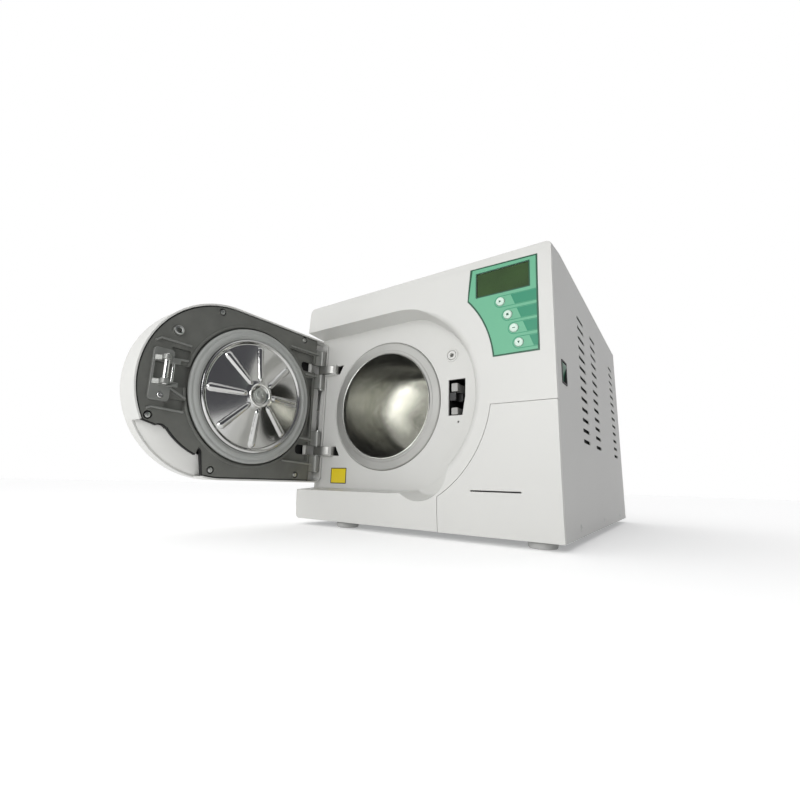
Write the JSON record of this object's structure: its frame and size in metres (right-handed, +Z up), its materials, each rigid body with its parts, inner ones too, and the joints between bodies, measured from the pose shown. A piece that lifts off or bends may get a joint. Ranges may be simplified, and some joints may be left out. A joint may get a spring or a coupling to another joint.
{
  "type": "benchtop autoclave",
  "caption": "Benchtop steam steriliser: round steel chamber behind a side-hung pressure door, with latch, keypad, display, printer flap, fill lid, tanks, pump, fan and feet",
  "frame": {"origin": "middle of the underside of the whole object, on the surface it stands on, with the door open", "axes": "+X to the case's right as seen from the front, +Y from the chamber's mouth to the rear, +Z up"},
  "size_m": [0.4958, 0.888, 0.4043],
  "materials": {
    "painted_steel": "fine satin powder coat, pale warm grey",
    "moulded_white": "satin moulded plastic, pale warm grey",
    "cast_aluminium": "cast plate with a dark grey coating",
    "polished_steel": "polished stainless steel",
    "satin_steel": "brushed stainless steel",
    "galvanised": "zinc-coated sheet",
    "silicone": "grey silicone",
    "rubber": "grey rubber",
    "mint_film": "printed mint-green film, satin",
    "display": "dark olive liquid-crystal window",
    "green_rocker": "dark green moulded plastic",
    "black_plastic": "black moulded plastic",
    "pale_button": "pale green-white key cap",
    "circuit_board": "green circuit board",
    "clear_tank": "milky translucent tank plastic",
    "brass": "turned brass",
    "copper": "bare copper",
    "fibre": "pale mineral-fibre blanket",
    "paper": "printer paper"
  },
  "bodies": {
    "case": {"base_pan": "galvanised", "chamber_flange": "satin_steel", "chamber_vessel": "polished_steel", "condenser": "copper", "control_board": "circuit_board", "control_overlay": "mint_film", "display_module": "display", "drain_pipe": "copper", "drain_port_clean": "brass", "drain_port_waste": "brass", "fan_frame": "black_plastic", "foot_front_left": "rubber", "foot_front_right": "rubber", "foot_rear_left": "rubber", "foot_rear_right": "rubber", "front_bezel": "moulded_white", "front_cradle": "galvanised", "heater_band": "copper", "hinge_arm_lower": "satin_steel", "hinge_arm_upper": "satin_steel", "insulation_jacket": "fibre", "latch_frame": "galvanised", "lock_sleeve": "satin_steel", "outer_cover": "painted_steel", "power_inlet": "black_plastic", "printer": "black_plastic", "rear_cradle": "galvanised", "rear_panel": "painted_steel", "rocker_housing": "black_plastic", "roll_spindle": "satin_steel", "safety_valve": "brass", "steam_generator": "polished_steel", "steam_pipe": "copper", "vacuum_pump": "cast_aluminium", "valve_block": "brass", "waste_tank": "clear_tank", "water_tank": "clear_tank"},
    "door": {"door_shell": "moulded_white", "door_plate": "cast_aluminium", "seal_ring": "silicone", "pressure_dish": "polished_steel", "hub_bolt": "satin_steel", "pressure_bridge": "galvanised", "latch_clevis": "satin_steel", "latch_pin": "polished_steel", "lock_stud": "satin_steel", "grip_cup": "moulded_white", "hinge_pin_upper": "satin_steel", "hinge_pin_lower": "satin_steel"},
    "service_flap": {"service_door": "moulded_white"},
    "lid": {"fill_lid": "moulded_white"},
    "fan": {"fan_rotor": "black_plastic"},
    "roll": {"paper_roll": "paper"},
    "rocker": {"power_rocker": "green_rocker"},
    "key_1": {"button_1": "pale_button"},
    "key_2": {"button_2": "pale_button"},
    "key_3": {"button_3": "pale_button"},
    "key_4": {"button_4": "pale_button"},
    "jaw": {"latch_jaw": "satin_steel"},
    "bolt": {"lock_pin": "satin_steel"}
  },
  "joints": [
    {"name": "door_hinge", "type": "hinge", "parent": "case", "child": "door", "pos_m": [-0.18645, -0.12902, 0.2019], "axis": [0, 0, 1], "range_deg": [-4, 92]},
    {"name": "service_hinge", "type": "hinge", "parent": "case", "child": "service_flap", "pos_m": [0.24705, -0.15052, 0.09385], "axis": [0, 0, 1], "range_deg": [0, 90]},
    {"name": "fill_lid_hinge", "type": "hinge", "parent": "case", "child": "lid", "pos_m": [0.15705, 0.27348, 0.4043], "axis": [-1, 0, 0], "range_deg": [0, 95]},
    {"name": "fan_spin", "type": "hinge", "parent": "case", "child": "fan", "pos_m": [0.16205, 0.40998, 0.119], "axis": [0, 1, 0], "continuous": true},
    {"name": "paper_roll_spin", "type": "hinge", "parent": "case", "child": "roll", "pos_m": [0.16505, -0.10602, 0.073], "axis": [1, 0, 0], "continuous": true},
    {"name": "rocker_tilt", "type": "hinge", "parent": "case", "child": "rocker", "pos_m": [0.24305, -0.11652, 0.221], "axis": [0, 1, 0], "range_deg": [-22, 0]},
    {"name": "key_1_press", "type": "slide", "parent": "case", "child": "key_1", "axis": [0, 1, 0], "range_m": [0, 0.0012], "stiffness_N_per_m": 400, "springref_m": -0.0005},
    {"name": "key_2_press", "type": "slide", "parent": "case", "child": "key_2", "axis": [0, 1, 0], "range_m": [0, 0.0012], "stiffness_N_per_m": 400, "springref_m": -0.0005},
    {"name": "key_3_press", "type": "slide", "parent": "case", "child": "key_3", "axis": [0, 1, 0], "range_m": [0, 0.0012], "stiffness_N_per_m": 400, "springref_m": -0.0005},
    {"name": "key_4_press", "type": "slide", "parent": "case", "child": "key_4", "axis": [0, 1, 0], "range_m": [0, 0.0012], "stiffness_N_per_m": 400, "springref_m": -0.0005},
    {"name": "latch_jaw_slide", "type": "slide", "parent": "case", "child": "jaw", "axis": [1, 0, 0], "range_m": [0, 0.012]},
    {"name": "lock_pin_slide", "type": "slide", "parent": "case", "child": "bolt", "axis": [0, -1, 0], "range_m": [0, 0.006]}
  ]
}
